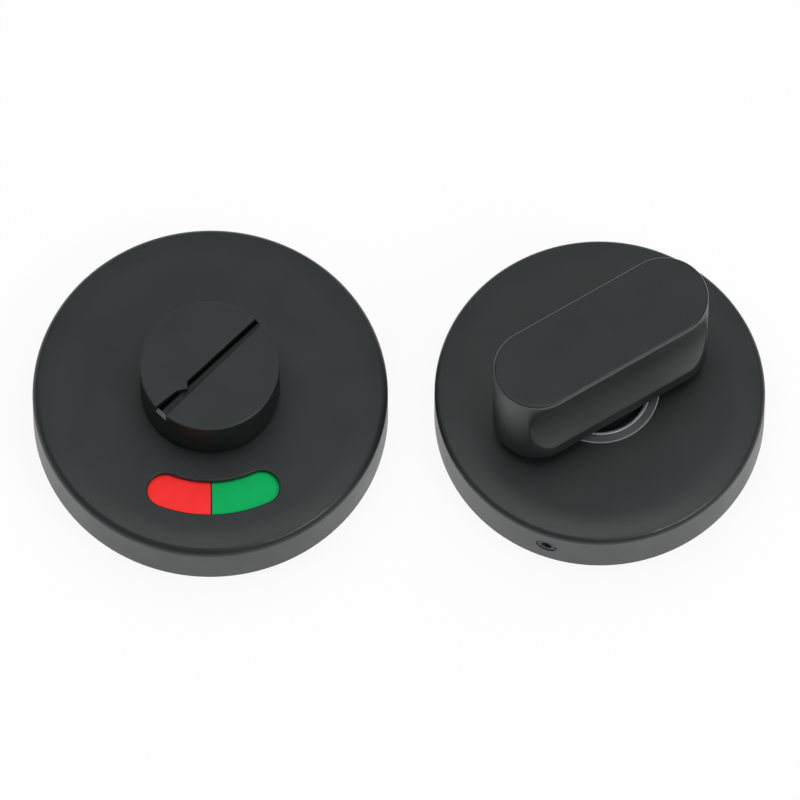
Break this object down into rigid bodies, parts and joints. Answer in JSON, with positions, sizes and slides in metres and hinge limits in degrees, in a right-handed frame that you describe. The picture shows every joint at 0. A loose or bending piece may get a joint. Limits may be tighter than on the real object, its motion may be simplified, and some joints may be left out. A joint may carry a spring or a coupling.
{
  "type": "bathroom thumb turn lock",
  "caption": "Bathroom privacy lock in satin black: a round rose with a thumb turn, and a round rose with a coin-slot release knob and an arc window that shows red or green.",
  "frame": {"origin": "middle of the pair on the plane of the roses' backs, which lie against the door or a table", "axes": "+Z out of the roses' faces, +X from the release rose to the turn rose, -Y the side of the indicator window"},
  "size_m": [0.1092, 0.053, 0.0302],
  "materials": {
    "black_coat": "satin black powder coat",
    "zinc_casting": "plain die-cast zinc alloy",
    "grey_nylon": "dark grey moulded nylon",
    "white_nylon": "natural moulded nylon",
    "black_steel": "blackened steel",
    "spring_steel": "oiled spring steel",
    "red_enamel": "satin red",
    "green_enamel": "satin green"
  },
  "bodies": {
    "roses": {"turn_rose_cover": "black_coat", "release_rose_cover": "black_coat", "turn_base_plate": "zinc_casting", "release_base_plate": "zinc_casting", "turn_collar": "grey_nylon", "release_bush": "grey_nylon", "turn_thrust_washer": "white_nylon", "release_thrust_washer": "white_nylon", "turn_wave_washer": "spring_steel", "release_wave_washer": "spring_steel", "turn_cover_screw": "black_steel", "release_cover_screw": "black_steel"},
    "turn": {"thumb_turn": "black_coat", "turn_stop_plate": "black_steel", "turn_circlip": "spring_steel"},
    "release": {"release_knob": "black_coat", "indicator_disc": "black_steel", "red_field": "red_enamel", "green_field": "green_enamel", "release_circlip": "spring_steel"}
  },
  "joints": [
    {"name": "turn_hinge", "type": "hinge", "parent": "roses", "child": "turn", "pos_m": [0.02995, 0, 0], "axis": [0, 0, 1], "range_deg": [-51, 39]},
    {"name": "release_hinge", "type": "hinge", "parent": "roses", "child": "release", "pos_m": [-0.0281, 0, 0], "axis": [0, 0, 1], "range_deg": [-43.9, 46.1]}
  ]
}
